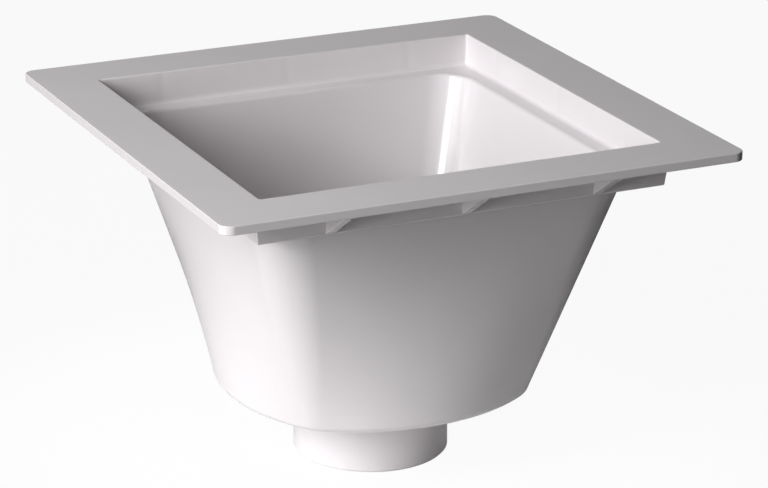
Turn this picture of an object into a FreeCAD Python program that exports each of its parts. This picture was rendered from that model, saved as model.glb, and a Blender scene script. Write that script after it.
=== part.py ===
import FreeCAD, Part
import math
import os

# Square floor sink in moulded rigid PVC: a flat square rim over a short square collar,
# a ledge for a grate, and a basin that is a square with small corners at the top and
# whose sides bow out more and more towards the floor, with a round outlet spigot below
# and a loose dome strainer over the outlet.
# Origin: centre of the outlet's end, on the surface that the sink stands on. +Z is up,
# and the front of the sink faces -Y. Lengths are in millimetres, angles in degrees.

# ---- driving dimensions -------------------------------------------------------------

# Rim, opening and ledge
rim_width = 304.8             # outside of the square rim
rim_thick = 5.0
rim_corner_radius = 7.0       # outer corners, seen from above
rim_edge_round = 0.8          # along the rim's top and bottom outer edges
rim_land = 34.4               # flat top of the rim, from its outer edge to the opening
opening_draft = 2.0           # the opening narrows downwards
opening_edge_break = 0.6      # bevel along the opening's top edge
ledge_depth = 18.7            # from the rim's top face down to the ledge
ledge_thick = 5.6
ledge_root_round = 2.5        # inside corner between the collar and the ledge
mouth_edge_round = 2.5        # rounded edge of the basin's mouth

# Collar below the rim
collar_foot_wall = 3.05       # beside the ledge, at the collar's foot
collar_draft = 6.0            # the collar's outside widens upwards
collar_foot_round = 1.0

# Gussets between the collar and the rim's underside
gussets_per_side = 3
gusset_corner_gap = 41.4      # from the collar's corner to the end gussets' middles
gusset_thick = 5.6
gusset_tip_setback = 1.4      # from the rim's outer edge back to the gusset's tip
gusset_tip_height = 0.8
gusset_tip_radius = 13.0      # hollow curve that runs the gusset out under the rim

# Basin, all outside sizes
basin_depth = 159.0           # from the rim's top face to the basin's underside
basin_setback = 9.1           # from the collar's foot in to the basin's top
basin_side_run = 23.3         # each side's middle comes in by this much to the underside
basin_top_corner = 26.0
basin_floor_corner = 28.0     # at the underside
basin_floor_turn = 36.0       # half of each bowed side turns by this at the underside
basin_edge_round = 6.0        # between the basin's side and its underside
basin_root_round = 1.5        # where the basin's side meets the ledge's underside
basin_wall = 5.6              # measured level, at any height
basin_sections = 6            # outlines that the basin's surfaces are drawn through

# Basin floor
floor_thick = 5.6             # around the strainer's seat
floor_fall = 2.0              # the floor drops this far towards the seat
floor_root_round = 6.0        # inside corner between the wall and the floor
floor_pan_height = 13.0       # height of the floor pan's turned-up edge

# Outlet
outlet_diameter = 88.9        # outside, a 3 inch drain pipe's size
outlet_wall = 5.5
outlet_length = 42.0          # below the basin's underside
outlet_root_round = 2.0
outlet_end_chamfer = 1.2

# Dome strainer and its seat
seat_width = 18.0             # from the outlet's bore out to the recess's wall
seat_depth = 2.5
strainer_gap = 0.5            # all round, in the recess and in the bore
strainer_rim_thick = 2.5
strainer_rim_land = 4.5       # flat ring outside the dome
strainer_skirt_depth = 8.0    # locating ring that hangs in the bore
strainer_wall = 2.8
dome_height = 30.0            # above the strainer's flat ring
slot_count = 12               # long slots, with a short one between each pair
slot_width = 5.0
slot_end_land = 6.0           # solid dome outside the slots
long_slot_length = 26.0
short_slot_length = 13.0

# ---- places worked out from them ----------------------------------------------------

z_floor_under = outlet_length
z_rim_top = outlet_length + basin_depth
z_rim_under = z_rim_top - rim_thick
z_ledge = z_rim_top - ledge_depth
z_foot = z_ledge - ledge_thick
z_seat_lip = z_floor_under + floor_thick
z_floor_high = z_seat_lip + floor_fall
z_seat = z_seat_lip - seat_depth

# The moulding is parted on level planes that stay clear of its fillets
z_collar_joint = z_ledge + ledge_root_round
z_basin_joint = z_foot - 2 * basin_root_round
z_pan_joint = z_floor_under + floor_pan_height
z_outlet_joint = z_floor_under - outlet_root_round

opening_width = rim_width - 2 * rim_land
ledge_width = opening_width - 2 * ledge_depth * math.tan(math.radians(opening_draft))
collar_width = ledge_width + 2 * collar_foot_wall
basin_top_width = collar_width - 2 * basin_setback
basin_floor_width = basin_top_width - 2 * basin_side_run
half_turn = math.tan(math.radians(basin_floor_turn / 2))
basin_floor_bow = (basin_floor_width / 2 - basin_floor_corner) * half_turn / (1 + half_turn)
gusset_pitch = (collar_width - 2 * gusset_corner_gap) / (gussets_per_side - 1)

bore_radius = outlet_diameter / 2 - outlet_wall
seat_radius = bore_radius + seat_width

side_names = ["front", "right", "back", "left"]
tiny = 0.01
axis_point = FreeCAD.Vector(0, 0, 0)
axis_up = FreeCAD.Vector(0, 0, 1)


def opening_half(z):
    """Half width of the square opening at height z. It narrows to ledge_width / 2."""
    return opening_width / 2 - (z_rim_top - z) * math.tan(math.radians(opening_draft))


def collar_half(z):
    """Half width of the collar's outside at height z."""
    return collar_width / 2 + (z - z_foot) * math.tan(math.radians(collar_draft))


def basin_section(z, inset):
    """Half width, corner radius and bow of the basin at height z, moved in by inset.

    The bow is greatest at the underside and fades out at the ledge.
    """
    share = (z - z_floor_under) / (z_foot - z_floor_under)
    half = (basin_floor_width + (basin_top_width - basin_floor_width) * share) / 2
    corner = basin_floor_corner + (basin_top_corner - basin_floor_corner) * share
    bow = basin_floor_bow * (z_ledge - z) / (z_ledge - z_floor_under)
    return half - inset, corner - inset, bow


# ---- shapes used more than once -----------------------------------------------------

def square_outline(half, corner, bow, z):
    """Level square with rounded corners, whose sides bow out smoothly between them.

    Half is the half width at the sides' middles. The corners' centres stay in place when
    half and corner shrink together, so that a moved-in outline keeps one wall all round.
    """
    centre = half - corner - bow
    turned = 2 * math.atan(bow / centre)
    near = centre + corner * math.sin(turned)
    far = centre + corner * math.cos(turned)
    middle = centre + corner * math.sqrt(0.5)
    edges = []
    for quarter in range(4):
        turn = math.radians(90 * quarter)

        def place(x, y):
            return FreeCAD.Vector(x * math.cos(turn) - y * math.sin(turn),
                                  x * math.sin(turn) + y * math.cos(turn), z)

        if bow > tiny:
            side = Part.Arc(place(far, -near), place(half, 0), place(far, near))
        else:
            side = Part.LineSegment(place(half, -near), place(half, near))
        rounded = Part.Arc(place(far, near), place(middle, middle), place(near, far))
        edges += [side.toShape(), rounded.toShape()]
    return Part.Wire(edges)


def square_block(low, high):
    """Solid between two level squares with sharp corners, each as (half width, z)."""
    rings = []
    for half, z in (low, high):
        rings.append([FreeCAD.Vector(x * half, y * half, z)
                      for x, y in ((-1, -1), (1, -1), (1, 1), (-1, 1))])
    outlines = [rings[0][::-1], rings[1]]
    for a, b in ((0, 1), (1, 2), (2, 3), (3, 0)):
        outlines.append([rings[0][a], rings[0][b], rings[1][b], rings[1][a]])
    faces = [Part.Face(Part.makePolygon(points + points[:1])) for points in outlines]
    shell = Part.makeShell(faces)
    shell.sewShape()
    return Part.makeSolid(shell)


def basin_block(z_low, z_high, inset):
    """Part of the tapered basin between two heights, moved in by inset."""
    outlines = []
    for step in range(basin_sections):
        z = z_low + (z_high - z_low) * step / (basin_sections - 1)
        outlines.append(square_outline(*basin_section(z, inset), z))
    return Part.makeLoft(outlines, True)


def disc(radius, z_low, z_high):
    """Upright round bar on the sink's axis."""
    return Part.makeCylinder(radius, z_high - z_low, FreeCAD.Vector(0, 0, z_low))


def level_edges(shape, z, within):
    """Edges that lie level at height z, no further out along X or Y than within."""
    found = []
    for edge in shape.Edges:
        box = edge.optimalBoundingBox()
        furthest = max(abs(box.XMin), abs(box.XMax), abs(box.YMin), abs(box.YMax))
        level = abs(box.ZMin - z) < tiny and abs(box.ZMax - z) < tiny
        if level and furthest < within + tiny:
            found.append(edge)
    return found


# ---- the moulding, before it is parted ----------------------------------------------

def moulding_outside():
    """Everything that the moulding fills, with its outer fillets."""
    rim_half = rim_width / 2
    outline = square_outline(rim_half, rim_corner_radius, 0, z_rim_under)
    rim = Part.Face(outline).extrude(FreeCAD.Vector(0, 0, rim_thick))
    edge_round = min(rim_edge_round, rim_thick / 2 - tiny)
    rim_edges = level_edges(rim, z_rim_top, rim_half)
    rim_edges += level_edges(rim, z_rim_under, rim_half)
    rim = rim.makeFillet(edge_round, rim_edges)

    collar = square_block((collar_half(z_foot), z_foot),
                          (collar_half(z_rim_under), z_rim_under))
    collar = collar.makeFillet(collar_foot_round, level_edges(collar, z_foot, rim_half))

    basin = basin_block(z_floor_under, z_foot, 0)
    basin = basin.makeFillet(basin_edge_round, level_edges(basin, z_floor_under, rim_half))

    outlet = disc(outlet_diameter / 2, 0, z_floor_under)
    outlet = outlet.makeChamfer(outlet_end_chamfer, level_edges(outlet, 0, rim_half))

    body = collar.fuse(basin).removeSplitter()
    basin_half = basin_section(z_foot, 0)[0]
    root = level_edges(body, z_foot, basin_half)
    body = body.makeFillet(basin_root_round, root)
    body = body.fuse(outlet).removeSplitter()
    root = level_edges(body, z_floor_under, outlet_diameter / 2)
    body = body.makeFillet(outlet_root_round, root)
    return rim.fuse(body).removeSplitter()


def moulding_inside():
    """The opening, the basin's cavity, the strainer's seat and the outlet's bore."""
    above = z_rim_top + rim_thick
    opening = square_block((opening_half(z_ledge), z_ledge), (opening_half(above), above))
    opening = opening.makeFillet(ledge_root_round,
                                 level_edges(opening, z_ledge, opening_width))
    z_bevel = z_rim_top - opening_edge_break
    bevel = square_block((opening_half(z_bevel), z_bevel),
                         (opening_half(z_bevel) + above - z_bevel, above))

    cavity = basin_block(z_floor_high, z_ledge, basin_wall)
    floor_edges = level_edges(cavity, z_floor_high, opening_width)
    cavity = cavity.makeFillet(floor_root_round, floor_edges)

    flat_half = basin_section(z_floor_high, basin_wall)[0] - floor_root_round
    dish = Part.makeCone(seat_radius, flat_half, floor_fall, FreeCAD.Vector(0, 0, z_seat_lip))
    seat = disc(seat_radius, z_seat, z_seat_lip)
    bore = disc(bore_radius, 0, z_seat)
    return opening.fuse([bevel, cavity, dish, seat, bore]).removeSplitter()


def make_moulding():
    moulding = moulding_outside().cut(moulding_inside())
    mouth_half = basin_section(z_ledge, basin_wall)[0]
    mouth_edges = level_edges(moulding, z_ledge, mouth_half)
    return moulding.makeFillet(mouth_edge_round, mouth_edges)


def layer(moulding, z_low, z_high):
    """The stretch of the moulding between two level joint planes."""
    side = 2 * rim_width
    corner = FreeCAD.Vector(-side / 2, -side / 2, z_low)
    return moulding.common(Part.makeBox(side, side, z_high - z_low, corner))


# ---- gussets ------------------------------------------------------------------------

def make_gusset():
    """One upright web in the plane x = 0, on the front of the collar."""
    z_start = z_foot + collar_foot_round
    start = (collar_half(z_start), z_start)
    tip = rim_width / 2 - gusset_tip_setback
    z_tip = z_rim_under - gusset_tip_height
    centre = (tip, z_tip - gusset_tip_radius)

    # Straight edge from the collar's foot, tangent to the hollow curve at the tip
    across, up = centre[0] - start[0], centre[1] - start[1]
    distance = math.hypot(across, up)
    slope = math.atan2(up, across) + math.asin(gusset_tip_radius / distance)
    run = math.sqrt(distance ** 2 - gusset_tip_radius ** 2)
    touch = (start[0] + run * math.cos(slope), start[1] + run * math.sin(slope))
    middle = (tip - gusset_tip_radius * math.sin(slope / 2),
              centre[1] + gusset_tip_radius * math.cos(slope / 2))

    def place(point):
        return FreeCAD.Vector(-gusset_thick / 2, -point[0], point[1])

    corners = [place(touch), place(start), place((collar_half(z_rim_under), z_rim_under)),
               place((tip, z_rim_under)), place((tip, z_tip))]
    edges = [Part.LineSegment(a, b).toShape() for a, b in zip(corners, corners[1:])]
    edges.append(Part.Arc(corners[-1], place(middle), corners[0]).toShape())
    return Part.Face(Part.Wire(edges)).extrude(FreeCAD.Vector(gusset_thick, 0, 0))


def make_gussets():
    """Every gusset, by node name. Number 1 is the left one, seen from outside."""
    gussets = {}
    web = make_gusset()
    for turn, side in enumerate(side_names):
        for number in range(gussets_per_side):
            gusset = web.copy()
            along = (number - (gussets_per_side - 1) / 2) * gusset_pitch
            gusset.translate(FreeCAD.Vector(along, 0, 0))
            gusset.rotate(axis_point, axis_up, 90 * turn)
            gussets[f"gusset_{side}_{number + 1}"] = gusset
    return gussets


# ---- dome strainer ------------------------------------------------------------------

def radial_slot(outer, length, z_low, z_high):
    """Round-ended upright cutter along +X that ends at the outer radius."""
    radius = slot_width / 2
    inner = outer - length
    box = Part.makeBox(length - slot_width, slot_width, z_high - z_low,
                       FreeCAD.Vector(inner + radius, -radius, z_low))
    ends = [Part.makeCylinder(radius, z_high - z_low, FreeCAD.Vector(x, 0, z_low))
            for x in (inner + radius, outer - radius)]
    return box.fuse(ends).removeSplitter()


def make_strainer():
    rim_radius = seat_radius - strainer_gap
    skirt_radius = bore_radius - strainer_gap
    hole_radius = skirt_radius - strainer_wall
    z_rim = z_seat + strainer_rim_thick
    z_skirt = z_seat - strainer_skirt_depth

    dome_radius = rim_radius - strainer_rim_land
    ball = (dome_radius ** 2 + dome_height ** 2) / (2 * dome_height)
    centre = FreeCAD.Vector(0, 0, z_rim + dome_height - ball)
    dome = Part.makeSphere(ball, centre).cut(Part.makeSphere(ball - strainer_wall, centre))
    dome = dome.common(disc(rim_radius, z_seat, z_rim + dome_height))

    flat = disc(rim_radius, z_seat, z_rim)
    skirt = disc(skirt_radius, z_skirt, z_seat)
    plain = dome.fuse([flat, skirt]).removeSplitter()
    plain = plain.cut(disc(hole_radius, z_skirt, z_rim))

    slot_outer = dome_radius - slot_end_land
    cutters = []
    for number in range(2 * slot_count):
        length = short_slot_length if number % 2 else long_slot_length
        cutter = radial_slot(slot_outer, length, z_rim + tiny, z_rim + 2 * dome_height)
        cutter.rotate(axis_point, axis_up, 180 * number / slot_count)
        cutters.append(cutter)
    return plain.cut(cutters)


# ---- nodes --------------------------------------------------------------------------

def make_nodes():
    moulding = make_moulding()
    nodes = {
        "rim_flange": layer(moulding, z_rim_under, z_rim_top),
        "collar": layer(moulding, z_collar_joint, z_rim_under),
        "grate_ledge": layer(moulding, z_basin_joint, z_collar_joint),
        "basin_wall": layer(moulding, z_pan_joint, z_basin_joint),
        "basin_floor": layer(moulding, z_outlet_joint, z_pan_joint),
        "outlet_spigot": layer(moulding, 0, z_outlet_joint),
    }
    nodes.update(make_gussets())
    nodes["dome_strainer"] = make_strainer()
    return nodes


os.makedirs("parts", exist_ok=True)
for name, shape in make_nodes().items():
    if len(shape.Solids) == 1:
        shape = shape.Solids[0]
    shape.exportStep(os.path.join("parts", name + ".step"))
    box = shape.optimalBoundingBox()
    print(f"{name:18} solids {len(shape.Solids)} valid {shape.isValid()} "
          f"volume {shape.Volume / 1000:8.2f} cm3 "
          f"z {box.ZMin:7.2f} to {box.ZMax:7.2f} width {box.XLength:7.2f}")
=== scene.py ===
import bmesh
import bpy
import math
from mathutils import Matrix, Vector


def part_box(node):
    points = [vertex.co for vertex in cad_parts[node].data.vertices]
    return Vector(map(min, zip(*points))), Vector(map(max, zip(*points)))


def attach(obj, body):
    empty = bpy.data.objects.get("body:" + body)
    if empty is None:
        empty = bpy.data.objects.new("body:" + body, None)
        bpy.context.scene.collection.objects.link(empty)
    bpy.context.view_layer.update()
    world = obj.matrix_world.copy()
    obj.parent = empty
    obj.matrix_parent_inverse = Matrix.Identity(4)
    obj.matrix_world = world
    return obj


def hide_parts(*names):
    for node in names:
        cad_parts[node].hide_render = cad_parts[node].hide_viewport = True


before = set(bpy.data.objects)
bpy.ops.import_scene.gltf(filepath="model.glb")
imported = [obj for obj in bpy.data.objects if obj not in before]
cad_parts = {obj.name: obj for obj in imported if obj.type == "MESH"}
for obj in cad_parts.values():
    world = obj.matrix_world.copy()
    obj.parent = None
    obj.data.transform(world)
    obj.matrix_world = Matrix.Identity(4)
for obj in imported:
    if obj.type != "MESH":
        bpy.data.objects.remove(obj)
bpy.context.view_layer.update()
scene = bpy.context.scene
mm = 0.001                     # sizes below are in millimetres


def addNode(tree, kind, links=None, **settings):
    node = tree.nodes.new(kind)
    for name, value in settings.items():
        setattr(node, name, value)
    for socket, value in (links or {}).items():
        if isinstance(value, bpy.types.Node):
            value = value.outputs[0]
        if isinstance(value, bpy.types.NodeSocket):
            tree.links.new(value, node.inputs[socket])
        else:
            node.inputs[socket].default_value = value
    return node


def linear(hexColour):         # sRGB hex to the linear colour that a shader takes
    parts = [int(hexColour[i:i + 2], 16) / 255 for i in (1, 3, 5)]
    return [p / 12.92 if p <= 0.04045 else ((p + 0.055) / 1.055) ** 2.4 for p in parts] + [1.0]


pvc = {
    "colour": "#dfdbdd",
    "shade": "#d8d4d6",        # slow drift of tone over the moulding
    "driftSize": 60.0,
    "roughness": 0.19,
    "roughSpread": 0.02,
    "faceRoughness": 0.46,     # the rim's top face comes from a matt part of the tool
    "faceSlack": 0.15,
    "edgeShadeColour": "#d3cfd1",   # painted shade: the rim's outer edge is coloured darker all round, for the shade on its front
    "scuffWidth": 9.0,         # faint draw marks
    "scuffRatio": 0.3,         # their width against their height
    "peelSize": 5.0,           # long ripple of the moulded skin
    "peelHeight": 0.010,
    "grainSize": 0.9,          # spark-eroded grain, really 0.3: drawn coarser so that it shows
    "grainHeight": 0.012,
    "sinkWidth": 5.0,          # sink marks inside the collar, behind the gussets
    "sinkDepth": 0.14,
    "sinkPitch": 79.0,
    "sinkReach": 18.0,         # they end this far below the rim's top face
    "rimTop": 201.0,
    "insideReach": 119.0,      # half width that the collar's inside lies within
    "edgeReach": 152.3,        # half width past which the rim's outer edge lies
}


def pvcMaterial():
    # Injection-moulded rigid PVC, off-white: a satin skin that copies the steel tool, with a
    # faint ripple, shallow sink marks where a web stands behind the wall, a matt top face and
    # painted shade on the rim's outer edge, which is coloured a little darker all round
    material = bpy.data.materials.new("mouldedRigidPvc")
    material.use_nodes = True
    tree = material.node_tree
    tree.nodes.clear()
    place = addNode(tree, "ShaderNodeTexCoord").outputs["Object"]
    axes = addNode(tree, "ShaderNodeSeparateXYZ", {0: place})
    normal = addNode(tree, "ShaderNodeNewGeometry").outputs["True Normal"]
    facing = addNode(tree, "ShaderNodeSeparateXYZ", {0: normal})

    drift = addNode(tree, "ShaderNodeTexNoise",
                    {"Vector": place, "Scale": 1 / (pvc["driftSize"] * mm), "Detail": 2.0})
    colour = addNode(tree, "ShaderNodeMix", {0: drift.outputs["Fac"], 6: linear(pvc["shade"]),
                                             7: linear(pvc["colour"])}, data_type="RGBA")

    faceHeight = (pvc["rimTop"] - pvc["faceSlack"]) * mm
    level = addNode(tree, "ShaderNodeMath", {0: axes.outputs[2], 1: faceHeight},
                    operation="GREATER_THAN")
    upward = addNode(tree, "ShaderNodeMath", {0: facing.outputs[2], 1: 0.9},
                     operation="GREATER_THAN")
    topFace = addNode(tree, "ShaderNodeMath", {0: level, 1: upward}, operation="MULTIPLY")

    sizeX = addNode(tree, "ShaderNodeMath", {0: axes.outputs[0]}, operation="ABSOLUTE")
    sizeY = addNode(tree, "ShaderNodeMath", {0: axes.outputs[1]}, operation="ABSOLUTE")
    outward = addNode(tree, "ShaderNodeMath", {0: sizeX, 1: sizeY}, operation="MAXIMUM")
    # Painted shade: past this half width, the rim's outer edge takes the darker edge colour
    edgeShadeMask = addNode(tree, "ShaderNodeMath", {0: outward, 1: pvc["edgeReach"] * mm},
                      operation="GREATER_THAN")
    colour = addNode(tree, "ShaderNodeMix", {0: edgeShadeMask, 6: colour.outputs[2],
                                             7: linear(pvc["edgeShadeColour"])}, data_type="RGBA")

    # Draw marks: the tool scuffs the walls a little in the direction that it opens
    along = addNode(tree, "ShaderNodeVectorMath", {0: place, 1: (1.0, 1.0, pvc["scuffRatio"])},
                    operation="MULTIPLY")
    scuff = addNode(tree, "ShaderNodeTexNoise",
                    {"Vector": along, "Scale": 1 / (pvc["scuffWidth"] * mm), "Detail": 1.0})
    rough = addNode(tree, "ShaderNodeMapRange", {0: scuff.outputs["Fac"], 1: 0.2, 2: 0.8,
                                                 3: pvc["roughness"] - pvc["roughSpread"],
                                                 4: pvc["roughness"] + pvc["roughSpread"]})
    roughness = addNode(tree, "ShaderNodeMix", {0: topFace, 2: rough, 3: pvc["faceRoughness"]},
                        data_type="FLOAT")

    peel = addNode(tree, "ShaderNodeTexNoise",
                   {"Vector": place, "Scale": 1 / (pvc["peelSize"] * mm), "Detail": 1.0})
    grain = addNode(tree, "ShaderNodeTexNoise",
                    {"Vector": place, "Scale": 1 / (pvc["grainSize"] * mm), "Detail": 2.0})
    grainOn = addNode(tree, "ShaderNodeMath", {0: grain.outputs["Fac"], 1: topFace},
                      operation="MULTIPLY")

    # Sink marks: a shallow groove behind each gusset, on the collar's inside only
    sideways = addNode(tree, "ShaderNodeMath", {0: sizeX, 1: sizeY}, operation="MINIMUM")
    fromEnd = addNode(tree, "ShaderNodeMath", {0: sideways, 1: pvc["sinkPitch"] * mm},
                      operation="SUBTRACT")
    fromEnd = addNode(tree, "ShaderNodeMath", {0: fromEnd}, operation="ABSOLUTE")
    nearest = addNode(tree, "ShaderNodeMath", {0: sideways, 1: fromEnd}, operation="MINIMUM")
    groove = addNode(tree, "ShaderNodeMapRange", {0: nearest, 1: 0.0, 2: pvc["sinkWidth"] * mm,
                                                  3: 1.0, 4: 0.0}, interpolation_type="SMOOTHSTEP")
    inside = addNode(tree, "ShaderNodeMath", {0: outward, 1: pvc["insideReach"] * mm},
                     operation="LESS_THAN")
    sinkFoot = (pvc["rimTop"] - pvc["sinkReach"]) * mm
    low = addNode(tree, "ShaderNodeMath", {0: axes.outputs[2], 1: sinkFoot},
                  operation="GREATER_THAN")
    upright = addNode(tree, "ShaderNodeMath", {0: facing.outputs[2], 1: 0.2},
                      operation="LESS_THAN")
    sink = addNode(tree, "ShaderNodeMath", {0: groove, 1: inside}, operation="MULTIPLY")
    sink = addNode(tree, "ShaderNodeMath", {0: sink, 1: low}, operation="MULTIPLY")
    sink = addNode(tree, "ShaderNodeMath", {0: sink, 1: upright}, operation="MULTIPLY")

    ripple = addNode(tree, "ShaderNodeBump", {"Height": peel.outputs["Fac"], "Strength": 1.0,
                                              "Distance": pvc["peelHeight"] * mm})
    grained = addNode(tree, "ShaderNodeBump", {"Height": grainOn, "Strength": 1.0,
                                               "Distance": pvc["grainHeight"] * mm,
                                               "Normal": ripple})
    sunk = addNode(tree, "ShaderNodeBump", {"Height": sink, "Strength": 1.0,
                                            "Distance": pvc["sinkDepth"] * mm,
                                            "Normal": grained}, invert=True)
    shader = addNode(tree, "ShaderNodeBsdfPrincipled",
                     {"Base Color": colour.outputs[2], "Roughness": roughness.outputs[0],
                      "IOR": 1.53, "Normal": sunk})
    addNode(tree, "ShaderNodeOutputMaterial", {"Surface": shader})
    return material


strainerPlastic = {
    "colour": "#d9d8d6",
    "shade": "#cfcecc",
    "driftSize": 25.0,
    "roughness": 0.46,
    "roughSpread": 0.05,
    "grainSize": 1.2,          # really 0.4: drawn coarser so that it shows
    "grainHeight": 0.012,
}


def strainerMaterial():
    # Moulded polypropylene: a little waxier and more matt than the sink's PVC
    material = bpy.data.materials.new("mouldedPolypropylene")
    material.use_nodes = True
    tree = material.node_tree
    tree.nodes.clear()
    place = addNode(tree, "ShaderNodeTexCoord").outputs["Object"]
    drift = addNode(tree, "ShaderNodeTexNoise",
                    {"Vector": place, "Scale": 1 / (strainerPlastic["driftSize"] * mm),
                     "Detail": 3.0})
    colour = addNode(tree, "ShaderNodeMix", {0: drift.outputs["Fac"],
                                             6: linear(strainerPlastic["shade"]),
                                             7: linear(strainerPlastic["colour"])},
                     data_type="RGBA")
    grain = addNode(tree, "ShaderNodeTexNoise",
                    {"Vector": place, "Scale": 1 / (strainerPlastic["grainSize"] * mm),
                     "Detail": 2.0})
    middle, spread = strainerPlastic["roughness"], strainerPlastic["roughSpread"]
    rough = addNode(tree, "ShaderNodeMapRange", {0: drift.outputs["Fac"], 1: 0.3, 2: 0.7,
                                                 3: middle - spread, 4: middle + spread})
    bump = addNode(tree, "ShaderNodeBump", {"Height": grain.outputs["Fac"], "Strength": 1.0,
                                            "Distance": strainerPlastic["grainHeight"] * mm})
    shader = addNode(tree, "ShaderNodeBsdfPrincipled",
                     {"Base Color": colour.outputs[2], "Roughness": rough.outputs[0],
                      "IOR": 1.49, "Normal": bump})
    addNode(tree, "ShaderNodeOutputMaterial", {"Surface": shader})
    return material


pvcFinish = pvcMaterial()
strainerFinish = strainerMaterial()
print("finishes made")


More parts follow.
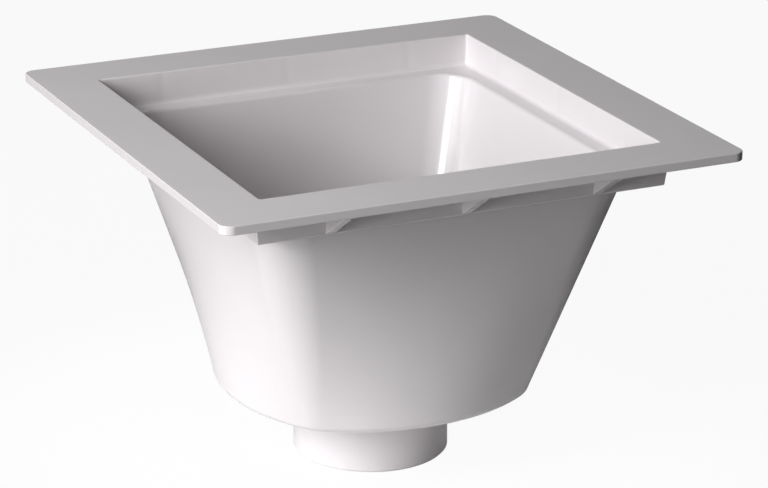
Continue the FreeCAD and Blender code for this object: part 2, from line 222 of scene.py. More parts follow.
def ringLoftTree():
    # Each seed point is one ring: x its half width, y its corner radius, z its height.
    # "bend" z is the angle that half a bowed side turns by. Its x and y move the ring round
    # a rolling-ball fillet, whose angle follows the wall's slope.
    tree = bpy.data.node_groups.new("ringLoft", "GeometryNodeTree")
    face = tree.interface
    face.new_socket(name="Seed", in_out="INPUT", socket_type="NodeSocketGeometry")
    for name, kind in (("Side columns", "NodeSocketInt"), ("Corner columns", "NodeSocketInt"),
                       ("Side growth", "NodeSocketFloat"), ("Centre growth", "NodeSocketFloat"),
                       ("Corner growth", "NodeSocketFloat"), ("Closed", "NodeSocketInt"),
                       ("Sharp angle", "NodeSocketFloat"), ("Finish", "NodeSocketMaterial")):
        face.new_socket(name=name, in_out="INPUT", socket_type=kind)
    face.new_socket(name="Shell", in_out="OUTPUT", socket_type="NodeSocketGeometry")
    given = tree.nodes.new("NodeGroupInput").outputs

    counts = addNode(tree, "GeometryNodeAttributeDomainSize", {0: given["Seed"]})
    rows = addNode(tree, "ShaderNodeMath", {0: counts.outputs["Point Count"], 1: given["Closed"]},
                   operation="ADD")
    perSide = addNode(tree, "ShaderNodeMath", {0: given["Side columns"],
                                               1: given["Corner columns"]}, operation="ADD")
    columns = addNode(tree, "ShaderNodeMath", {0: perSide, 1: 4.0, 2: 1.0},
                      operation="MULTIPLY_ADD")
    sheet = addNode(tree, "GeometryNodeMeshGrid", {"Vertices X": rows, "Vertices Y": columns})

    index = addNode(tree, "GeometryNodeInputIndex")
    row = addNode(tree, "ShaderNodeMath", {0: index, 1: columns}, operation="DIVIDE")
    row = addNode(tree, "ShaderNodeMath", {0: row}, operation="FLOOR")
    before = addNode(tree, "ShaderNodeMath", {0: row, 1: columns}, operation="MULTIPLY")
    column = addNode(tree, "ShaderNodeMath", {0: index, 1: before}, operation="SUBTRACT")
    station = addNode(tree, "ShaderNodeMath", {0: row, 1: counts.outputs["Point Count"]},
                      operation="MODULO")
    seedPlace = addNode(tree, "GeometryNodeInputPosition")
    ring = addNode(tree, "GeometryNodeSampleIndex",
                   {"Geometry": given["Seed"], "Value": seedPlace, "Index": station},
                   data_type="FLOAT_VECTOR")
    ring = addNode(tree, "ShaderNodeSeparateXYZ", {0: ring}).outputs
    bendName = addNode(tree, "GeometryNodeInputNamedAttribute", {"Name": "bend"},
                       data_type="FLOAT_VECTOR")
    bend = addNode(tree, "GeometryNodeSampleIndex",
                   {"Geometry": given["Seed"], "Value": bendName.outputs["Attribute"],
                    "Index": station}, data_type="FLOAT_VECTOR")
    bend = addNode(tree, "ShaderNodeSeparateXYZ", {0: bend}).outputs
    ballRadius, ballTurn = bend[0], bend[1]
    swing = addNode(tree, "ShaderNodeMath", {0: bend[2], 1: 0.0001}, operation="MAXIMUM")

    # Which side the column is on, how far along that side, and how far round its corner
    side = addNode(tree, "ShaderNodeMath", {0: column, 1: perSide}, operation="DIVIDE")
    side = addNode(tree, "ShaderNodeMath", {0: side}, operation="FLOOR")
    start = addNode(tree, "ShaderNodeMath", {0: side, 1: perSide}, operation="MULTIPLY")
    step = addNode(tree, "ShaderNodeMath", {0: column, 1: start}, operation="SUBTRACT")
    share = addNode(tree, "ShaderNodeMath", {0: step, 1: given["Side columns"]},
                    operation="DIVIDE", use_clamp=True)
    sway = addNode(tree, "ShaderNodeMath", {0: share, 1: 2.0, 2: -1.0},
                   operation="MULTIPLY_ADD")
    past = addNode(tree, "ShaderNodeMath", {0: step, 1: given["Side columns"]},
                   operation="SUBTRACT")
    past = addNode(tree, "ShaderNodeMath", {0: past, 1: given["Corner columns"]},
                   operation="DIVIDE", use_clamp=True)

    # The way that the wall faces: it turns by the swing on each half side, the rest in the corner
    left = addNode(tree, "ShaderNodeMath", {0: swing, 1: -2.0, 2: math.pi / 2},
                   operation="MULTIPLY_ADD")
    rounded = addNode(tree, "ShaderNodeMath", {0: past, 1: left}, operation="MULTIPLY")
    bowed = addNode(tree, "ShaderNodeMath", {0: sway, 1: swing}, operation="MULTIPLY")
    facing = addNode(tree, "ShaderNodeMath", {0: bowed, 1: rounded}, operation="ADD")
    across = addNode(tree, "ShaderNodeMath", {0: facing}, operation="COSINE")
    around = addNode(tree, "ShaderNodeMath", {0: facing}, operation="SINE")

    # The wall's slope in this column sets where the fillet's ball touches it
    turned = addNode(tree, "ShaderNodeMath", {0: swing, 1: rounded}, operation="ADD")
    turnedX = addNode(tree, "ShaderNodeMath", {0: turned}, operation="COSINE")
    turnedY = addNode(tree, "ShaderNodeMath", {0: turned}, operation="SINE")
    both = addNode(tree, "ShaderNodeMath", {0: turnedX, 1: turnedY}, operation="ADD")
    cornerRise = addNode(tree, "ShaderNodeMath", {0: both, 1: given["Centre growth"],
                                                  2: given["Corner growth"]},
                         operation="MULTIPLY_ADD")
    fromMiddle = addNode(tree, "ShaderNodeMath", {0: sway, 1: sway}, operation="MULTIPLY")
    rise = addNode(tree, "ShaderNodeMix", {0: fromMiddle, 2: given["Side growth"],
                                           3: cornerRise}, data_type="FLOAT")
    slope = addNode(tree, "ShaderNodeMath", {0: rise}, operation="ARCTANGENT")
    quarter = addNode(tree, "ShaderNodeMath", {0: math.pi / 2, 1: slope}, operation="SUBTRACT")
    turn = addNode(tree, "ShaderNodeMath", {0: quarter, 1: ballTurn}, operation="MULTIPLY")
    slopeCosine = addNode(tree, "ShaderNodeMath", {0: slope}, operation="COSINE")
    setIn = addNode(tree, "ShaderNodeMath", {0: ballRadius, 1: slopeCosine}, operation="DIVIDE")
    turnSine = addNode(tree, "ShaderNodeMath", {0: turn}, operation="SINE")
    turnCosine = addNode(tree, "ShaderNodeMath", {0: turn}, operation="COSINE")
    setOut = addNode(tree, "ShaderNodeMath", {0: ballRadius, 1: turnSine}, operation="MULTIPLY")
    inset = addNode(tree, "ShaderNodeMath", {0: setIn, 1: setOut}, operation="SUBTRACT")
    drop = addNode(tree, "ShaderNodeMath", {0: ballRadius, 1: turnCosine}, operation="MULTIPLY")
    height = addNode(tree, "ShaderNodeMath", {0: ring[2], 1: drop}, operation="SUBTRACT")

    # Centre that the corner radius swings from: still in the corners, it slides along a side
    free = addNode(tree, "ShaderNodeMath", {0: ring[0], 1: ring[1]}, operation="SUBTRACT")
    halfSwing = addNode(tree, "ShaderNodeMath", {0: swing, 1: 0.5}, operation="MULTIPLY")
    bowShare = addNode(tree, "ShaderNodeMath", {0: halfSwing}, operation="TANGENT")
    bowShare = addNode(tree, "ShaderNodeMath", {0: bowShare, 1: 1.0}, operation="ADD")
    centre = addNode(tree, "ShaderNodeMath", {0: free, 1: bowShare}, operation="DIVIDE")
    swingSine = addNode(tree, "ShaderNodeMath", {0: swing}, operation="SINE")
    spread = addNode(tree, "ShaderNodeMath", {0: centre, 1: swingSine}, operation="DIVIDE")
    bowedSine = addNode(tree, "ShaderNodeMath", {0: bowed}, operation="SINE")
    centreY = addNode(tree, "ShaderNodeMath", {0: spread, 1: bowedSine}, operation="MULTIPLY")
    halfBowed = addNode(tree, "ShaderNodeMath", {0: bowed, 1: 0.5}, operation="MULTIPLY")
    sag = addNode(tree, "ShaderNodeMath", {0: halfBowed}, operation="SINE")
    sag = addNode(tree, "ShaderNodeMath", {0: sag, 1: sag}, operation="MULTIPLY")
    sag = addNode(tree, "ShaderNodeMath", {0: sag, 1: spread}, operation="MULTIPLY")
    centreX = addNode(tree, "ShaderNodeMath", {0: sag, 1: -2.0, 2: free},
                      operation="MULTIPLY_ADD")
    reach = addNode(tree, "ShaderNodeMath", {0: ring[1], 1: inset}, operation="SUBTRACT")
    x = addNode(tree, "ShaderNodeMath", {0: reach, 1: across, 2: centreX},
                operation="MULTIPLY_ADD")
    y = addNode(tree, "ShaderNodeMath", {0: reach, 1: around, 2: centreY},
                operation="MULTIPLY_ADD")
    corner = addNode(tree, "ShaderNodeCombineXYZ", {0: x, 1: y, 2: height})
    quarters = addNode(tree, "ShaderNodeMath", {0: side, 1: math.pi / 2}, operation="MULTIPLY")
    placed = addNode(tree, "ShaderNodeVectorRotate", {"Vector": corner, "Angle": quarters},
                     rotation_type="Z_AXIS")

    shell = addNode(tree, "GeometryNodeSetPosition", {"Geometry": sheet, "Position": placed})
    shell = addNode(tree, "GeometryNodeMergeByDistance", {"Geometry": shell,
                                                          "Distance": 0.002 * mm})
    shell = addNode(tree, "GeometryNodeFlipFaces", {0: shell})
    shell = addNode(tree, "GeometryNodeSetShadeSmooth", {"Geometry": shell}, domain="FACE")
    crease = addNode(tree, "GeometryNodeInputMeshEdgeAngle")
    sharp = addNode(tree, "ShaderNodeMath", {0: crease, 1: given["Sharp angle"]},
                    operation="GREATER_THAN")
    shell = addNode(tree, "GeometryNodeSetShadeSmooth",
                    {"Geometry": shell, "Selection": sharp, "Shade Smooth": False}, domain="EDGE")
    shell = addNode(tree, "GeometryNodeRealizeInstances", {0: shell})
    shell = addNode(tree, "GeometryNodeSetMaterial", {"Geometry": shell,
                                                      "Material": given["Finish"]})
    addNode(tree, "NodeGroupOutput", {0: shell})
    return tree


ringLoft = ringLoftTree()
loftSharp = 28                 # degrees; an edge that turns by more than this stays crisp
leastCorner = 0.25             # millimetres; no ring's corner is sharper


def grow(name, seed, tree, sizes):
    # Runs a node tree on a seed mesh and keeps its result as a plain mesh
    maker = bpy.data.objects.new(name + "Seed", seed)
    scene.collection.objects.link(maker)
    rule = maker.modifiers.new("rule", "NODES")
    rule.node_group = tree
    for item in tree.interface.items_tree:
        if item.in_out == "INPUT" and item.name in sizes:
            rule[item.identifier] = sizes[item.name]
    even = maker.modifiers.new("evenShading", "WEIGHTED_NORMAL")
    even.keep_sharp = True
    shaped = maker.evaluated_get(bpy.context.evaluated_depsgraph_get())
    mesh = bpy.data.meshes.new_from_object(shaped)
    mesh.name = name
    maker.modifiers.clear()
    bpy.data.objects.remove(maker)
    piece = bpy.data.objects.new(name, mesh)
    scene.collection.objects.link(piece)
    return piece


def arc(half, corner, height, radius, start, stop, steps=6, swing=0.0):
    # Rings round a fillet or a rounded edge, where the wall stands at one slope all round
    rings = []
    for i in range(steps + 1):
        angle = math.radians(start + (stop - start) * i / steps)
        out = radius * math.cos(angle)
        rings.append((half + out, max(corner + out, leastCorner), height + radius * math.sin(angle),
                      swing))
    return rings


def ballArc(ring, radius, outward, steps=7):
    # Rings round a rolling-ball fillet of the basin, outward from its level end to the wall
    turns = [i / steps for i in range(steps + 1)]
    if not outward:
        turns.reverse()
    return [ring + (radius, turn) for turn in turns]


def loftRings(name, rings, finish, growth=(0.0, 0.0, 0.0), closed=1, sideColumns=8,
              cornerColumns=24):
    # Rings are (half width, corner radius, height, swing, fillet radius, fillet turn)
    seed = bpy.data.meshes.new(name)
    seed.from_pydata([[value * mm for value in ring[:3]] for ring in rings], [], [])
    bend = seed.attributes.new("bend", "FLOAT_VECTOR", "POINT")
    for i, ring in enumerate(rings):
        swing, radius, turn = (ring[3:] + (0.0, 0.0, 0.0))[:3]
        bend.data[i].vector = (radius * mm, turn, swing)
    return grow(name, seed, ringLoft, {
        "Side columns": sideColumns, "Corner columns": cornerColumns,
        "Side growth": growth[0], "Centre growth": growth[1], "Corner growth": growth[2],
        "Closed": closed, "Sharp angle": math.radians(loftSharp), "Finish": finish})


def settle(piece, body, nodes):
    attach(piece, body)
    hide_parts(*nodes)


# Levels of the joints between the CAD nodes
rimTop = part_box("rim_flange")[1].z / mm
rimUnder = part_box("rim_flange")[0].z / mm
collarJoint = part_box("collar")[0].z / mm
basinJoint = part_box("grate_ledge")[0].z / mm
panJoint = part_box("basin_wall")[0].z / mm
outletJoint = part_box("basin_floor")[0].z / mm


rim = {
    "width": 304.8,
    "cornerRadius": 7.0,
    "edgeRound": 0.45,
    "openingWidth": 236.0,
    "openingDraft": 2.0,       # degrees; the opening narrows downwards
    "openingCorner": 1.2,
    "openingEdge": 0.7,
}


def openingHalf(height):
    return rim["openingWidth"] / 2 - (rimTop - height) * math.tan(math.radians(rim["openingDraft"]))


def rimRings():
    half, edge, soft = rim["width"] / 2, rim["edgeRound"], rim["openingEdge"]
    corner = rim["cornerRadius"] - edge
    rings = arc(half - edge, corner, rimUnder + edge, edge, -90, 0)
    rings += arc(half - edge, corner, rimTop - edge, edge, 0, 90)
    rings += arc(openingHalf(rimTop - soft) + soft, rim["openingCorner"] + soft,
                 rimTop - soft, soft, 90, 180)
    rings.append((openingHalf(rimUnder), rim["openingCorner"], rimUnder))
    return rings


rimPiece = loftRings("rimFlange", rimRings(), pvcFinish)
settle(rimPiece, "sink", ["rim_flange"])


collar = {                     # the square box wall below the rim
    "footWidth": 240.794,
    "draft": 6.0,              # degrees; the outside widens upwards
    "footRound": 1.0,
    "outerCorner": 0.8,
}
ledge = {
    "depth": 18.7,             # below the rim's top face
    "thick": 5.6,
    "rootRound": 2.5,
    "mouthRound": 2.5,
}
ledgeTop = rimTop - ledge["depth"]
foot = ledgeTop - ledge["thick"]


def collarHalf(height):
    return collar["footWidth"] / 2 + (height - foot) * math.tan(math.radians(collar["draft"]))


collarRings = [(collarHalf(collarJoint), collar["outerCorner"], collarJoint),
               (collarHalf(rimUnder), collar["outerCorner"], rimUnder),
               (openingHalf(rimUnder), rim["openingCorner"], rimUnder),
               (openingHalf(collarJoint), rim["openingCorner"], collarJoint)]
collarPiece = loftRings("collarBand", collarRings, pvcFinish)
settle(collarPiece, "sink", ["collar"])
print("rim and collar lofted")


# The basin is a square at the top, and its sides bow out more and more towards the floor
basin = {
    "topWidth": 222.594,
    "topCorner": 26.0,
    "floorWidth": 175.994,     # over the middles of the sides
    "floorCorner": 28.0,
    "floorSwing": 36.0,        # degrees that half a side turns by at the underside
    "floorUnder": 42.0,
    "wall": 5.6,
    "rootRound": 1.5,
    "edgeRound": 6.0,
    "levels": 20,              # rows of the wall, from the floor pan up to the ledge
}
basinTall = foot - basin["floorUnder"]
halfSwing = math.tan(math.radians(basin["floorSwing"] / 2))
floorBow = (basin["floorWidth"] / 2 - basin["floorCorner"]) * halfSwing / (1 + halfSwing)
bowGrowth = -floorBow / (ledgeTop - basin["floorUnder"])
sideGrowth = (basin["topWidth"] - basin["floorWidth"]) / 2 / basinTall
cornerGrowth = (basin["topCorner"] - basin["floorCorner"]) / basinTall
basinLook = {
    "growth": (sideGrowth, sideGrowth - cornerGrowth - bowGrowth, cornerGrowth),
    "sideColumns": 24,
    "cornerColumns": 16,
}


def basinRing(height, inset=0.0):
    above = height - basin["floorUnder"]
    half = basin["floorWidth"] / 2 + sideGrowth * above
    corner = basin["floorCorner"] + cornerGrowth * above
    bow = floorBow + bowGrowth * above
    swing = 2 * math.atan(bow / (half - corner - bow))
    return half - inset, corner - inset, height, swing


def ledgeRings():
    root, mouth, footRound = basin["rootRound"], ledge["mouthRound"], collar["footRound"]
    rings = [basinRing(basinJoint)]
    rings += ballArc(basinRing(foot - root), -root, outward=False)
    height = foot + footRound
    half = collarHalf(height) - footRound / math.cos(math.radians(collar["draft"]))
    rings += arc(half, collar["outerCorner"] - footRound, height, footRound,
                 -90, -collar["draft"])
    rings.append((collarHalf(collarJoint), collar["outerCorner"], collarJoint))
    rings.append((openingHalf(collarJoint), rim["openingCorner"], collarJoint))
    height = ledgeTop + ledge["rootRound"]
    half = openingHalf(height) - ledge["rootRound"] / math.cos(math.radians(rim["openingDraft"]))
    rings += arc(half, rim["openingCorner"] - ledge["rootRound"], height, ledge["rootRound"],
                 -rim["openingDraft"], -90)
    rings += ballArc(basinRing(ledgeTop - mouth, basin["wall"]), -mouth, outward=True)
    rings.append(basinRing(basinJoint, basin["wall"]))
    return rings


def wallRings():
    levels = basin["levels"]
    heights = [panJoint + (basinJoint - panJoint) * i / levels for i in range(levels + 1)]
    outside = [basinRing(height) for height in heights]
    inside = [basinRing(height, basin["wall"]) for height in reversed(heights)]
    return outside + inside


ledgePiece = loftRings("grateLedge", ledgeRings(), pvcFinish, **basinLook)
settle(ledgePiece, "sink", ["grate_ledge"])
wallPiece = loftRings("basinWall", wallRings(), pvcFinish, **basinLook)
settle(wallPiece, "sink", ["basin_wall"])
print("ledge and basin wall lofted")


floorPan = {
    "thick": 5.6,              # round the strainer's seat
    "fall": 2.0,
    "rootRound": 6.0,
    "seatRadius": 56.95,
    "seatDepth": 2.5,
    "seatEdge": 0.5,
}
outlet = {
    "radius": 44.45,
    "bore": 38.95,
    "rootRound": 2.0,
    "endChamfer": 1.2,
    "boreEdge": 0.4,
}
seatLip = basin["floorUnder"] + floorPan["thick"]
seat = seatLip - floorPan["seatDepth"]


def floorRings():
    root, edge, soft = outlet["rootRound"], basin["edgeRound"], floorPan["seatEdge"]
    under, inner = basin["floorUnder"], floorPan["rootRound"]
    swing = math.radians(basin["floorSwing"])
    reach = outlet["radius"] + root
    rings = arc(reach, reach, under - root, root, 180, 90, swing=swing)
    rings += ballArc(basinRing(under + edge), edge, outward=True)
    rings.append(basinRing(panJoint))
    rings.append(basinRing(panJoint, basin["wall"]))
    floorHigh = seatLip + floorPan["fall"]
    rings += ballArc(basinRing(floorHigh + inner, basin["wall"]), inner, outward=False)
    reach = basinRing(floorHigh, basin["wall"])[0] - inner
    rings.append((reach, reach, floorHigh, swing))
    reach = floorPan["seatRadius"] + soft
    rings += arc(reach, reach, seatLip - soft, soft, 90, 180, steps=3, swing=swing)
    rings.append((floorPan["seatRadius"], floorPan["seatRadius"], seat, swing))
    reach = outlet["bore"] + outlet["boreEdge"]
    rings += arc(reach, reach, seat - outlet["boreEdge"], outlet["boreEdge"], 90, 180, steps=3,
                 swing=swing)
    rings.append((outlet["bore"], outlet["bore"], outletJoint, swing))
    return rings


def outletRings():
    radius, bore, cut, soft = (outlet[k] for k in ("radius", "bore", "endChamfer", "boreEdge"))
    rings = arc(bore + soft, bore + soft, soft, soft, 180, 270, steps=3)
    rings += [(radius - cut, radius - cut, 0.0), (radius, radius, cut)]
    rings += [(radius, radius, outletJoint), (bore, bore, outletJoint)]
    return rings


floorPiece = loftRings("basinFloor", floorRings(), pvcFinish, **basinLook)
settle(floorPiece, "sink", ["basin_floor"])
outletPiece = loftRings("outletSpigot", outletRings(), pvcFinish)
settle(outletPiece, "sink", ["outlet_spigot"])
print("floor and outlet lofted")


gusset = {
    "perSide": 3,
    "pitch": 79.0,
    "thick": 5.6,
    "tipSetback": 1.4,
    "tipHeight": 0.8,
    "tipRadius": 13.0,         # hollow curve that runs out under the rim
    "edgeRound": 0.45,
    "sunk": 0.3,               # into the collar and the rim, so that no gap shows
    "curveSteps": 8,
    "sharp": 35,               # degrees
}


def gussetWeb():
    # One web in the plane x = 0 on the front side: a straight edge that runs out under the rim
    tip, radius = rim["width"] / 2 - gusset["tipSetback"], gusset["tipRadius"]
    startZ = foot + collar["footRound"]
    start = (collarHalf(startZ), startZ)
    tipZ = rimUnder - gusset["tipHeight"]
    centre = (tip, tipZ - radius)
    across, up = centre[0] - start[0], centre[1] - start[1]
    slope = math.atan2(up, across) + math.asin(radius / math.hypot(across, up))
    steps = gusset["curveSteps"]
    outline = []
    for i in range(steps + 1):
        angle = math.radians(90) + slope * i / steps
        outline.append((centre[0] + radius * math.cos(angle), centre[1] + radius * math.sin(angle)))
    outline.append(start)
    visible = len(outline)
    outline.append((start[0] - gusset["sunk"], start[1]))
    outline.append((collarHalf(rimUnder) - gusset["sunk"], rimUnder + gusset["sunk"]))
    outline.append((tip, rimUnder + gusset["sunk"]))
    shape = bmesh.new()
    corners = [shape.verts.new((-gusset["thick"] / 2 * mm, -p[0] * mm, p[1] * mm))
               for p in outline]
    web = shape.faces.new(corners)
    grown = bmesh.ops.extrude_face_region(shape, geom=[web])["geom"]
    moved = [item for item in grown if isinstance(item, bmesh.types.BMVert)]
    bmesh.ops.translate(shape, verts=moved, vec=(gusset["thick"] * mm, 0, 0))
    bmesh.ops.recalc_face_normals(shape, faces=shape.faces)
    shape.verts.ensure_lookup_table()
    rows = [corners[:visible], moved[:visible]]
    edges = [shape.edges.get((a, b)) for row in rows for a, b in zip(row, row[1:])]
    bmesh.ops.bevel(shape, geom=[e for e in edges if e], offset=gusset["edgeRound"] * mm,
                    segments=3, profile=0.5, affect="EDGES")
    mesh = bpy.data.meshes.new("gussetWeb")
    shape.to_mesh(mesh)
    shape.free()
    return mesh


def sideRowsTree():
    # Copies a web along one side at a pitch, then that row round all the sides
    tree = bpy.data.node_groups.new("sideRows", "GeometryNodeTree")
    face = tree.interface
    face.new_socket(name="Web", in_out="INPUT", socket_type="NodeSocketGeometry")
    for name, kind in (("Per side", "NodeSocketInt"), ("Pitch", "NodeSocketFloat"),
                       ("Sides", "NodeSocketInt"), ("Sharp angle", "NodeSocketFloat"),
                       ("Finish", "NodeSocketMaterial")):
        face.new_socket(name=name, in_out="INPUT", socket_type=kind)
    face.new_socket(name="Rows", in_out="OUTPUT", socket_type="NodeSocketGeometry")
    given = tree.nodes.new("NodeGroupInput").outputs
    gaps = addNode(tree, "ShaderNodeMath", {0: given["Per side"], 1: 1.0}, operation="SUBTRACT")
    first = addNode(tree, "ShaderNodeMath", {0: gaps, 1: given["Pitch"]}, operation="MULTIPLY")
    first = addNode(tree, "ShaderNodeMath", {0: first, 1: -0.5}, operation="MULTIPLY")
    firstPlace = addNode(tree, "ShaderNodeCombineXYZ", {0: first})
    offset = addNode(tree, "ShaderNodeCombineXYZ", {0: given["Pitch"]})
    places = addNode(tree, "GeometryNodeMeshLine", {"Count": given["Per side"],
                                                    "Start Location": firstPlace,
                                                    "Offset": offset})
    web = addNode(tree, "GeometryNodeSetShadeSmooth", {"Geometry": given["Web"]}, domain="FACE")
    crease = addNode(tree, "GeometryNodeInputMeshEdgeAngle")
    sharp = addNode(tree, "ShaderNodeMath", {0: crease, 1: given["Sharp angle"]},
                    operation="GREATER_THAN")
    web = addNode(tree, "GeometryNodeSetShadeSmooth",
                  {"Geometry": web, "Selection": sharp, "Shade Smooth": False}, domain="EDGE")
    row = addNode(tree, "GeometryNodeInstanceOnPoints", {"Points": places, "Instance": web})
    centres = addNode(tree, "GeometryNodeMeshLine", {"Count": given["Sides"],
                                                     "Offset": (0.0, 0.0, 0.0)})
    index = addNode(tree, "GeometryNodeInputIndex")
    part = addNode(tree, "ShaderNodeMath", {0: 2 * math.pi, 1: given["Sides"]},
                   operation="DIVIDE")
    turn = addNode(tree, "ShaderNodeMath", {0: index, 1: part}, operation="MULTIPLY")
    turned = addNode(tree, "ShaderNodeCombineXYZ", {2: turn})
    rows = addNode(tree, "GeometryNodeInstanceOnPoints", {"Points": centres, "Instance": row,
                                                          "Rotation": turned})
    rows = addNode(tree, "GeometryNodeRealizeInstances", {0: rows})
    rows = addNode(tree, "GeometryNodeSetMaterial", {"Geometry": rows,
                                                     "Material": given["Finish"]})
    addNode(tree, "NodeGroupOutput", {0: rows})
    return tree


gussetPiece = grow("gussets", gussetWeb(), sideRowsTree(), {
    "Per side": gusset["perSide"], "Pitch": gusset["pitch"] * mm, "Sides": 4,
    "Sharp angle": math.radians(gusset["sharp"]), "Finish": pvcFinish})
settle(gussetPiece, "sink",
       [f"gusset_{side}_{n + 1}" for side in ("front", "right", "back", "left")
        for n in range(gusset["perSide"])])
print("gussets set out")


strainer = {
    "rimRadius": 56.45,
    "rimThick": 2.5,
    "rimEdge": 0.5,
    "skirtRadius": 38.45,
    "skirtDepth": 8.0,
    "wall": 2.8,
    "domeRadius": 51.95,
    "domeTall": 30.0,
    "domeSteps": 14,
    "slots": 12,               # long ones, with a short one between each pair
    "slotWidth": 5.0,
    "slotOuter": 45.95,
    "longSlot": 26.0,
    "shortSlot": 13.0,
    "sharp": 30,               # degrees
}


def strainerRings():
    rimZ = seat + strainer["rimThick"]
    skirtZ = seat - strainer["skirtDepth"]
    tall, reach = strainer["domeTall"], strainer["domeRadius"]
    ball = (reach ** 2 + tall ** 2) / (2 * tall)
    middle = rimZ + tall - ball
    inner = ball - strainer["wall"]
    hole = strainer["skirtRadius"] - strainer["wall"]
    outEdge, soft = strainer["rimRadius"], strainer["rimEdge"]
    steps = strainer["domeSteps"]
    rings = []
    lowest = math.asin((rimZ - middle) / inner)
    for i in range(steps + 1):  # inside of the dome, from its crown down
        angle = math.pi / 2 + (lowest - math.pi / 2) * i / steps
        rings.append((inner * math.cos(angle), inner * math.cos(angle),
                      middle + inner * math.sin(angle)))
    rings.append((hole, hole, rimZ))
    rings += arc(hole + soft, hole + soft, skirtZ + soft, soft, 180, 270, steps=3)
    skirt = strainer["skirtRadius"] - soft
    rings += arc(skirt, skirt, skirtZ + soft, soft, -90, 0, steps=3)
    rings.append((strainer["skirtRadius"], strainer["skirtRadius"], seat))
    rings += arc(outEdge - soft, outEdge - soft, seat + soft, soft, -90, 0, steps=3)
    rings += arc(outEdge - soft, outEdge - soft, rimZ - soft, soft, 0, 90, steps=3)
    lowest = math.asin((rimZ - middle) / ball)
    for i in range(steps + 1):  # outside, back up to the crown
        angle = lowest + (math.pi / 2 - lowest) * i / steps
        rings.append((ball * math.cos(angle), ball * math.cos(angle),
                      middle + ball * math.sin(angle)))
    return rings


def slotTree():
    # Cuts two rings of radial slots, long and short by turns, through the dome
    tree = bpy.data.node_groups.new("radialSlots", "GeometryNodeTree")
    face = tree.interface
    face.new_socket(name="Dome", in_out="INPUT", socket_type="NodeSocketGeometry")
    for name, kind in (("Slots", "NodeSocketInt"), ("Width", "NodeSocketFloat"),
                       ("Outer", "NodeSocketFloat"), ("Long", "NodeSocketFloat"),
                       ("Short", "NodeSocketFloat"), ("Bottom", "NodeSocketFloat"),
                       ("Tall", "NodeSocketFloat"), ("Sharp angle", "NodeSocketFloat"),
                       ("Finish", "NodeSocketMaterial")):
        face.new_socket(name=name, in_out="INPUT", socket_type=kind)
    face.new_socket(name="Strainer", in_out="OUTPUT", socket_type="NodeSocketGeometry")
    given = tree.nodes.new("NodeGroupInput").outputs
    part = addNode(tree, "ShaderNodeMath", {0: 2 * math.pi, 1: given["Slots"]},
                   operation="DIVIDE")
    # Just under half the width, so that the round ends keep a sliver of straight
    radius = addNode(tree, "ShaderNodeMath", {0: given["Width"], 1: 0.4999},
                     operation="MULTIPLY")
    rings = []
    for name, lead in (("Long", 0.0), ("Short", 0.5)):
        outline = addNode(tree, "GeometryNodeCurvePrimitiveQuadrilateral",
                          {0: given[name], 1: given["Width"]})
        outline = addNode(tree, "GeometryNodeFilletCurve", {"Curve": outline, "Count": 7,
                                                            "Radius": radius}, mode="POLY")
        plate = addNode(tree, "GeometryNodeFillCurve", {"Curve": outline}, mode="NGONS")
        raised = addNode(tree, "GeometryNodeExtrudeMesh", {"Mesh": plate,
                                                           "Offset Scale": given["Tall"]})
        underside = addNode(tree, "GeometryNodeFlipFaces", {0: plate})
        cutter = addNode(tree, "GeometryNodeJoinGeometry", {0: raised})
        tree.links.new(underside.outputs[0], cutter.inputs[0])
        cutter = addNode(tree, "GeometryNodeMergeByDistance", {"Geometry": cutter,
                                                               "Distance": 0.001 * mm})
        middle = addNode(tree, "ShaderNodeMath", {0: given[name], 1: -0.5, 2: given["Outer"]},
                         operation="MULTIPLY_ADD")
        place = addNode(tree, "ShaderNodeCombineXYZ", {0: middle, 2: given["Bottom"]})
        cutter = addNode(tree, "GeometryNodeTransform", {"Geometry": cutter,
                                                         "Translation": place})
        centres = addNode(tree, "GeometryNodeMeshLine", {"Count": given["Slots"],
                                                         "Offset": (0.0, 0.0, 0.0)})
        index = addNode(tree, "GeometryNodeInputIndex")
        step = addNode(tree, "ShaderNodeMath", {0: index, 1: lead}, operation="ADD")
        turn = addNode(tree, "ShaderNodeMath", {0: step, 1: part}, operation="MULTIPLY")
        turned = addNode(tree, "ShaderNodeCombineXYZ", {2: turn})
        ring = addNode(tree, "GeometryNodeInstanceOnPoints", {"Points": centres,
                                                              "Instance": cutter,
                                                              "Rotation": turned})
        rings.append(addNode(tree, "GeometryNodeRealizeInstances", {0: ring}))
    cutters = addNode(tree, "GeometryNodeJoinGeometry", {0: rings[0]})
    tree.links.new(rings[1].outputs[0], cutters.inputs[0])
    cut = addNode(tree, "GeometryNodeMeshBoolean", {"Mesh 1": given["Dome"], "Mesh 2": cutters},
                  operation="DIFFERENCE", solver="EXACT")
    cut = addNode(tree, "GeometryNodeSetShadeSmooth", {"Geometry": cut}, domain="FACE")
    crease = addNode(tree, "GeometryNodeInputMeshEdgeAngle")
    sharp = addNode(tree, "ShaderNodeMath", {0: crease, 1: given["Sharp angle"]},
                    operation="GREATER_THAN")
    cut = addNode(tree, "GeometryNodeSetShadeSmooth",
                  {"Geometry": cut, "Selection": sharp, "Shade Smooth": False}, domain="EDGE")
    cut = addNode(tree, "GeometryNodeRealizeInstances", {0: cut})
    cut = addNode(tree, "GeometryNodeSetMaterial", {"Geometry": cut,
                                                    "Material": given["Finish"]})
    addNode(tree, "NodeGroupOutput", {0: cut})
    return tree


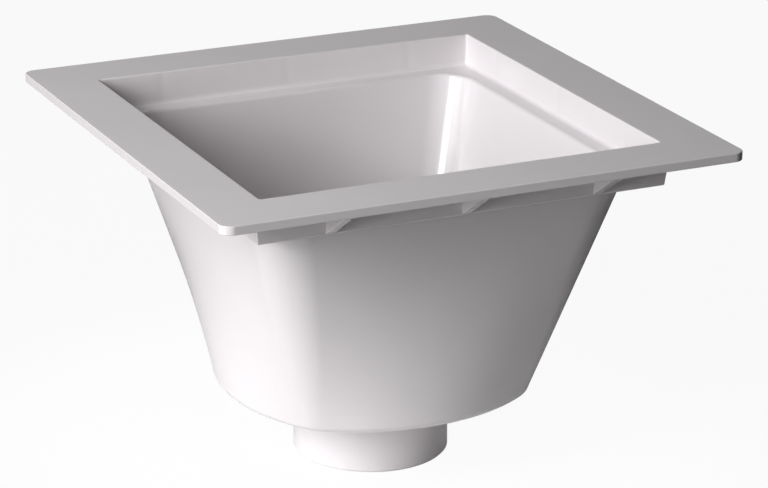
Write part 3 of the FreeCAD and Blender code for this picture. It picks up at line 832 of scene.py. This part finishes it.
plainDome = loftRings("plainDome", strainerRings(), strainerFinish, closed=0, sideColumns=1)
strainerPiece = grow("domeStrainer", plainDome.data.copy(), slotTree(), {
    "Slots": strainer["slots"], "Width": strainer["slotWidth"] * mm,
    "Outer": strainer["slotOuter"] * mm, "Long": strainer["longSlot"] * mm,
    "Short": strainer["shortSlot"] * mm,
    "Bottom": (seat + strainer["rimThick"] + 0.01) * mm,
    "Tall": 2 * strainer["domeTall"] * mm, "Sharp angle": math.radians(strainer["sharp"]),
    "Finish": strainerFinish})
bpy.data.objects.remove(plainDome)
settle(strainerPiece, "strainer", ["dome_strainer"])
print("strainer slotted")


studio = {
    "floorSize": 14.0,         # metres
    "cardColour": "#f0f0f0",   # white card round the sink's outlet
    "boardColour": "#7c7c7c",  # darker board further out, which keeps the contrast up
    "cardReach": (0.15, 0.35),  # metres; the card fades into the board between them
    "floorWhite": 0.94,        # share of plain white that the camera sees, the rest keeps shadow
    "ambient": 0.02,
    "lamps": {                 # metres and watts; every lamp points at the aim
        "upperBox": {"place": (-1.692, -0.681, 1.350), "size": (0.6, 1.2), "power": 31.0},
        "lowerBox": {"place": (-1.918, -0.772, 0.872), "size": (0.6, 1.2), "power": 21.6},
        "front": {"place": (-1.356, -0.781, 0.453), "size": (0.5, 0.5), "power": 5.1},
        "left": {"place": (-0.903, 0.080, 0.543), "size": (0.35, 0.35), "power": 1.6},
        "back": {"place": (0.876, 1.872, 0.872), "size": (0.9, 0.9), "power": 1.7},
        "fill": {"place": (1.6, 1.6, 0.12), "size": (1.6, 0.14), "power": 36.0},
    },
    "aim": (0.0, 0.0, 0.12),
    "lens": 156.1,
    "sensor": 36.0,
    "camera": (-0.7487, -1.6145, 0.7477),
    "look": (0.3999, 0.8544, -0.3318),
    "roll": 0.26,              # degrees
    "shift": 0.0025,           # the photograph's framing
}


def makeFloor():
    half = studio["floorSize"] / 2
    mesh = bpy.data.meshes.new("studioFloor")
    mesh.from_pydata([(-half, -half, 0), (half, -half, 0), (half, half, 0), (-half, half, 0)],
                     [], [(0, 1, 2, 3)])
    floor = bpy.data.objects.new("studioFloor", mesh)
    scene.collection.objects.link(floor)
    # Matt painted board with a white card on it: the camera sees both as near white, and they
    # keep a soft shadow
    material = bpy.data.materials.new("paintedBoard")
    material.use_nodes = True
    tree = material.node_tree
    tree.nodes.clear()
    place = addNode(tree, "ShaderNodeTexCoord").outputs["Object"]
    away = addNode(tree, "ShaderNodeVectorMath", {0: place}, operation="LENGTH")
    fade = addNode(tree, "ShaderNodeMapRange", {0: away.outputs["Value"],
                                                1: studio["cardReach"][0],
                                                2: studio["cardReach"][1]},
                   interpolation_type="SMOOTHSTEP")
    colour = addNode(tree, "ShaderNodeMix", {0: fade, 6: linear(studio["cardColour"]),
                                             7: linear(studio["boardColour"])},
                     data_type="RGBA")
    board = addNode(tree, "ShaderNodeBsdfDiffuse", {0: colour.outputs[2]})
    white = addNode(tree, "ShaderNodeEmission", {0: (1.0, 1.0, 1.0, 1.0), 1: 1.0})
    seen = addNode(tree, "ShaderNodeLightPath").outputs["Is Camera Ray"]
    share = addNode(tree, "ShaderNodeMath", {0: seen, 1: studio["floorWhite"]},
                    operation="MULTIPLY")
    # Under the open outlet the board is as dark as it really is
    beyond = addNode(tree, "ShaderNodeMath", {0: away.outputs["Value"], 1: outlet["bore"] * mm},
                     operation="GREATER_THAN")
    share = addNode(tree, "ShaderNodeMath", {0: share, 1: beyond}, operation="MULTIPLY")
    surface = addNode(tree, "ShaderNodeMixShader", {0: share, 1: board, 2: white})
    addNode(tree, "ShaderNodeOutputMaterial", {"Surface": surface})
    mesh.materials.append(material)


def makeWorld():
    world = bpy.data.worlds.new("studioRoom")
    scene.world = world
    world.use_nodes = True
    tree = world.node_tree
    tree.nodes.clear()
    seen = addNode(tree, "ShaderNodeLightPath").outputs["Is Camera Ray"]
    level = addNode(tree, "ShaderNodeMix", {0: seen, 2: studio["ambient"], 3: 1.0},
                    data_type="FLOAT")
    room = addNode(tree, "ShaderNodeBackground", {0: (1.0, 1.0, 1.0, 1.0), 1: level})
    addNode(tree, "ShaderNodeOutputWorld", {"Surface": room})


def makeLamps():
    for name, lamp in studio["lamps"].items():
        light = bpy.data.lights.new(name, "AREA")
        light.shape = "RECTANGLE"
        light.size, light.size_y = lamp["size"]
        light.energy = lamp["power"]
        holder = bpy.data.objects.new(name, light)
        holder.location = lamp["place"]
        holder.visible_camera = False
        holder.visible_glossy = name != "fill"  # it would glint on the far edges of the rim
        aim = Vector(studio["aim"]) - holder.location
        holder.rotation_euler = aim.to_track_quat("-Z", "Y").to_euler()
        scene.collection.objects.link(holder)


def makeCamera():
    lens = bpy.data.cameras.new("studioCamera")
    lens.sensor_fit = "HORIZONTAL"
    lens.sensor_width = studio["sensor"]
    lens.lens = studio["lens"]
    lens.shift_x = studio["shift"]
    camera = bpy.data.objects.new("studioCamera", lens)
    turn = Vector(studio["look"]).to_track_quat("-Z", "Y").to_matrix().to_4x4()
    roll = Matrix.Rotation(math.radians(studio["roll"]), 4, "Z")
    camera.matrix_world = Matrix.Translation(studio["camera"]) @ turn @ roll
    scene.collection.objects.link(camera)
    scene.camera = camera


makeFloor()
makeWorld()
makeLamps()
makeCamera()
scene.view_settings.view_transform = "Standard"
print("studio set up")
